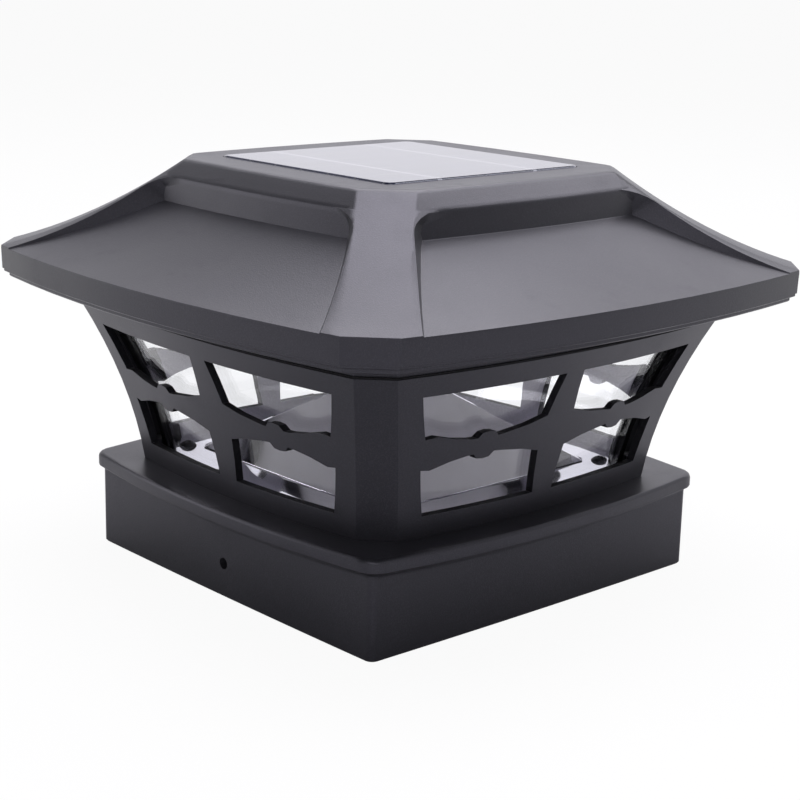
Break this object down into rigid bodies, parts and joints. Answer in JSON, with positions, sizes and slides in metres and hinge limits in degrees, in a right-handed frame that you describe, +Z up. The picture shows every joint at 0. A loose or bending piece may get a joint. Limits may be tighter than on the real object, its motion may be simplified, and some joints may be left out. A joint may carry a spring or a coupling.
{
  "type": "deck post cap light",
  "caption": "Solar lantern cap for a square post, with a flared hip roof, a barred lantern cage, clear lens, mirror pyramid and lift-off roof unit.",
  "frame": {"origin": "centre of the skirt's open bottom end, on the plane the skirt's rim stands on", "axes": "+Z up out of the roof, along the post; +X and +Y square to the sides; the two screw holes are in the -Y and +Y sides of the skirt"},
  "size_m": [0.1996, 0.1996, 0.1275],
  "materials": {
    "housing": "black satin moulding with a fine grain",
    "lens": "clear, polished",
    "mirror": "bright metallised",
    "white": "white",
    "foam": "soft closed-cell foam",
    "screws": "zinc plated",
    "board": "green solder mask",
    "cells": "dark blue-black silicon",
    "cover": "clear cast resin, glossy",
    "inner_black": "black",
    "cell_wrap": "green sleeve",
    "contacts": "plated spring metal",
    "lamp": "clear dome",
    "coil": "wound wire, lacquered",
    "lead_red": "soft sleeve",
    "lead_black": "soft sleeve"
  },
  "bodies": {
    "base_body": {"base": "housing", "cage": "housing", "lens": "lens", "reflector_floor": "mirror", "reflector_pyramid": "mirror", "floor_screw_1": "screws", "floor_screw_2": "screws", "floor_screw_3": "screws", "floor_screw_4": "screws", "cage_screw_1": "screws", "cage_screw_2": "screws", "cage_screw_3": "screws", "cage_screw_4": "screws"},
    "roof_unit": {"roof_shell": "housing", "roof_tray": "housing", "top_seal": "foam", "ceiling_reflector": "white", "tray_screw_1": "screws", "tray_screw_2": "screws", "tray_screw_3": "screws", "tray_screw_4": "screws", "solar_pad": "foam", "solar_board": "board", "solar_cells": "cells", "solar_cover": "cover", "cell_box": "inner_black", "battery_cell": "cell_wrap", "contact_plus": "contacts", "contact_minus": "contacts", "lamp_board": "white", "lamp_dome": "lamp", "switch_body": "inner_black", "control_board": "board", "control_chip": "inner_black", "control_coil": "coil", "board_screw_1": "screws", "board_screw_2": "screws", "panel_lead_plus": "lead_red", "panel_lead_minus": "lead_black", "cell_lead_plus": "lead_red", "cell_lead_minus": "lead_black", "lamp_lead_plus": "lead_red", "lamp_lead_minus": "lead_black"},
    "door": {"battery_door": "housing"},
    "knob": {"switch_knob": "white"}
  },
  "joints": [
    {"name": "roof_lift", "type": "slide", "parent": "base_body", "child": "roof_unit", "axis": [0, 0, 1], "range_m": [0, 0.08]},
    {"name": "door_hinge", "type": "hinge", "parent": "roof_unit", "child": "door", "pos_m": [0, -0.0212, 0.082], "axis": [1, 0, 0], "range_deg": [0, 100]},
    {"name": "switch_slide", "type": "slide", "parent": "roof_unit", "child": "knob", "axis": [1, 0, 0], "range_m": [0, 0.003]}
  ]
}
